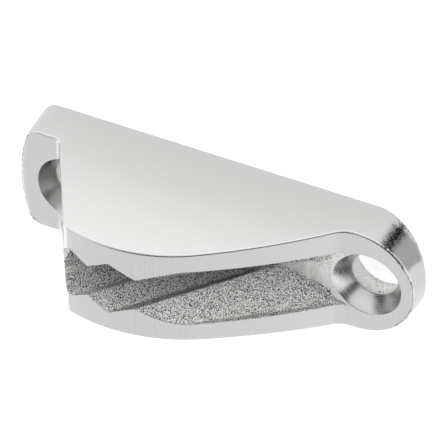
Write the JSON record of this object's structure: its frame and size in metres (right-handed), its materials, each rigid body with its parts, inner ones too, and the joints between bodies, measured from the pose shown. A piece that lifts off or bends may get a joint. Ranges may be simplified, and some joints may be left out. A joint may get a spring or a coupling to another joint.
{
  "type": "fixed-jaw rope cleat",
  "caption": "One-piece metal rope cleat: two fixed toothed jaws form a V channel between a blunt and a round screw lug, each with a countersunk hole.",
  "frame": {"origin": "on the mounting face, midway between the two screw holes", "axes": "+X along the cleat from the tall end to the low rope-entry end, +Z away from the mounting face, +Y completes the right-handed frame"},
  "size_m": [0.0695, 0.02, 0.0257],
  "materials": {
    "cleat_body": "polished outside, blasted cast surface in the channel"
  },
  "bodies": {
    "root": {"cleat_body": "cleat_body"}
  },
  "joints": []
}
